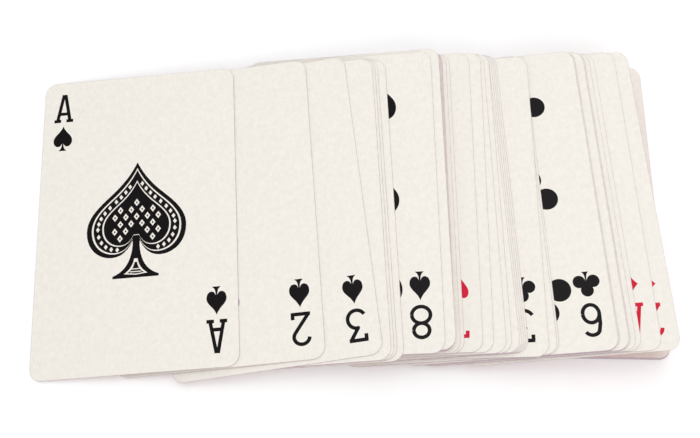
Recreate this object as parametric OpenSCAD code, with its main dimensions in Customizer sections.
// A pack of playing cards, spread face up in a ribbon on a table. Millimetres and degrees.
// +X runs along the ribbon from its top card to its bottom card, +Y towards the cards' tops, +Z up.
// The origin is the middle of the spread's footprint, on the table.

/* [Card] */
// Width of a card
card_w = 57; // [50:0.5:70]
// Height of a card
card_h = 89; // [80:0.5:110]
// Thickness of the card stock
card_t = 0.27; // [0.2:0.01:0.4]
// Radius of a card's rounded corners
corner_r = 3.5; // [2:0.25:8]

/* [Spread] */
// Length of the ribbon, from the middle of its top card to the middle of its bottom card
ribbon_length = 121; // [70:0.5:180]
// Furthest that a card strays from the ribbon's line, towards its own top
stray = 3.4; // [0:0.1:8]
// Cards that lie flat, squared up at the bottom of the spread
flat_cards = 11; // [1:1:20]
// Lean of the other cards, each with its right side up on the cards under it
lean = 9.5; // [4:0.5:14]
// Air between a card and the card that it lies on
card_gap = 0.03; // [0.02:0.01:0.1]

/* [Hidden] */
$fn = 64;
SUITS = ["spades", "hearts", "clubs", "diamonds"];
RANKS = [
    "ace", "two", "three", "four", "five", "six", "seven",
    "eight", "nine", "ten", "jack", "queen", "king"
];

// Runs of cards that lie alike, from the top of the spread down. Each run holds its count of cards,
// the step to its first card, the step between its cards, the share of stray and the turn.
// Steps are parts of the ribbon's length, and turns are in degrees.
RUNS = [
    [1, 0, 0, 0, 2],
    [1, 22.3, 0, 0.15, 2.8],
    [1, 13.4, 0, -0.1, 5.2],
    [3, 5, 0.8, 0.05, 1.2],
    [1, 2, 0, 0, 0.8],
    [1, 12, 0, 0.7, -0.9],
    [1, 2.6, 0, 0.9, -0.6],
    [8, -0.6, 0.2, 1, -1.4],
    [2, 1.2, 1, 0.8, -1.2],
    [1, 5.3, 0, 0.9, -1.8],
    [1, 3.1, 0, 0.9, -2.2],
    [2, 2.1, 1.5, 0.6, -0.6],
    [5, 1.1, 0.6, 0.45, 0.8],
    [1, 7, 0, 0.4, -1.6],
    [2, 0.6, 0.6, 0.25, 0.6],
    [3, 14.5, 0.3, 0.25, 1.4],
    [3, 2.4, 0.3, 0.25, 1.4],
    [2, 1.4, 1.4, 0.2, 1.4],
    [1, 5.5, 0, 0.25, 0.9],
    [1, 4.3, 0, 0.1, 1.6],
    [11, 3.7, 0.1, 0.5, -2.4]
];

// Step from the card above, share of stray and turn of every card
LAID = [
    for (run = RUNS, k = [0:run[0] - 1])
        [k == 0 ? run[1] : run[2], run[3], run[4]]
];
last = len(LAID) - 1;
function steps_to(i) = i < 0 ? 0 : steps_to(i - 1) + LAID[i][0];
function middle_x(i) = ribbon_length*steps_to(i)/steps_to(last);
function middle_y(i) = stray*LAID[i][1];
function turn(i) = LAID[i][2];

// Half of the width and of the height that a turned card takes up in its own plane
corner_x = card_w/2 - corner_r;
corner_y = card_h/2 - corner_r;
function half_x(i) = corner_x*cos(turn(i)) + corner_y*abs(sin(turn(i))) + corner_r;
function half_y(i) = corner_x*abs(sin(turn(i))) + corner_y*cos(turn(i)) + corner_r;

// A seated card is [left end, right end, slope, height of its top face at the left end]
function ends(i, slope) =
    let (half = half_x(i)*cos(atan(slope)))
    [middle_x(i) - half, middle_x(i) + half];
function upright(slope) = card_t*sqrt(1 + slope*slope);
function top_at(seated, x) = seated[3] + (x - seated[0])*seated[2];

// Where a card with these ends can touch a seated card, with the slab's square-cut ends allowed for
function touches(span, seated) =
    let (from = max(span[0], seated[0]) - card_t, to = min(span[1], seated[1]) + card_t)
    from < to ? [from, to] : [];

// Slope of a card whose left end is on the table and which just clears the cards under it
nearest = 0.001;
function table_slope(span, under) =
    max([
        0,
        for (seated = under, x = touches(span, seated))
            (top_at(seated, x) + card_gap)/max(x - span[0], nearest)
    ]);

// Height of a card's left end, at which it lies on the table or on the cards under it
function left_height(span, slope, under) =
    max([
        0,
        for (seated = under, x = touches(span, seated))
            top_at(seated, x) + card_gap - (x - span[0])*slope
    ]);

// A card takes the wanted slope unless its left end meets the table first
settling_rounds = 4;
function settled_slope(i, under, wanted, slope, rounds) =
    rounds < 1 ? slope :
    settled_slope(
        i, under, wanted, min(wanted, table_slope(ends(i, slope), under)), rounds - 1
    );

function seat(i, under) =
    let (
        wanted = len(under) < flat_cards ? 0 : tan(lean),
        slope = settled_slope(i, under, wanted, wanted, settling_rounds),
        span = ends(i, slope),
        left_top = left_height(span, slope, under) + upright(slope)
    )
    [span[0], span[1], slope, left_top];

// Every card's seat, worked out from the bottom card up and listed from the top card down
function seats(i, under = []) = i < 0 ? under : seats(i - 1, concat([seat(i, under)], under));
SEATS = seats(last);
function slope(i) = SEATS[i][2];
function middle_z(i) = top_at(SEATS[i], middle_x(i)) - upright(slope(i))/2;

// The spread's footprint is centred on the origin
function reach_x(i) = half_x(i)*cos(atan(slope(i))) + card_t/2*sin(atan(slope(i)));
CARDS = [0:last];
left_x = min([for (i = CARDS) middle_x(i) - reach_x(i)]);
right_x = max([for (i = CARDS) middle_x(i) + reach_x(i)]);
front_y = min([for (i = CARDS) middle_y(i) - half_y(i)]);
back_y = max([for (i = CARDS) middle_y(i) + half_y(i)]);
footprint_middle = [(left_x + right_x)/2, (front_y + back_y)/2, 0];

module card_outline() {
    square([card_w, 2*corner_y], center = true);
    square([2*corner_x, card_h], center = true);
    for (sx = [-1, 1], sy = [-1, 1])
        translate([sx*corner_x, sy*corner_y])
            circle(r = corner_r);
}

module playing_card(i) {
    color("ivory")
        translate([middle_x(i), middle_y(i), middle_z(i)] - footprint_middle)
            rotate([0, -atan(slope(i)), 0])
                rotate([0, 0, turn(i)])
                    linear_extrude(height = card_t, center = true)
                        card_outline();
}

for (i = CARDS)
    playing_card(i);
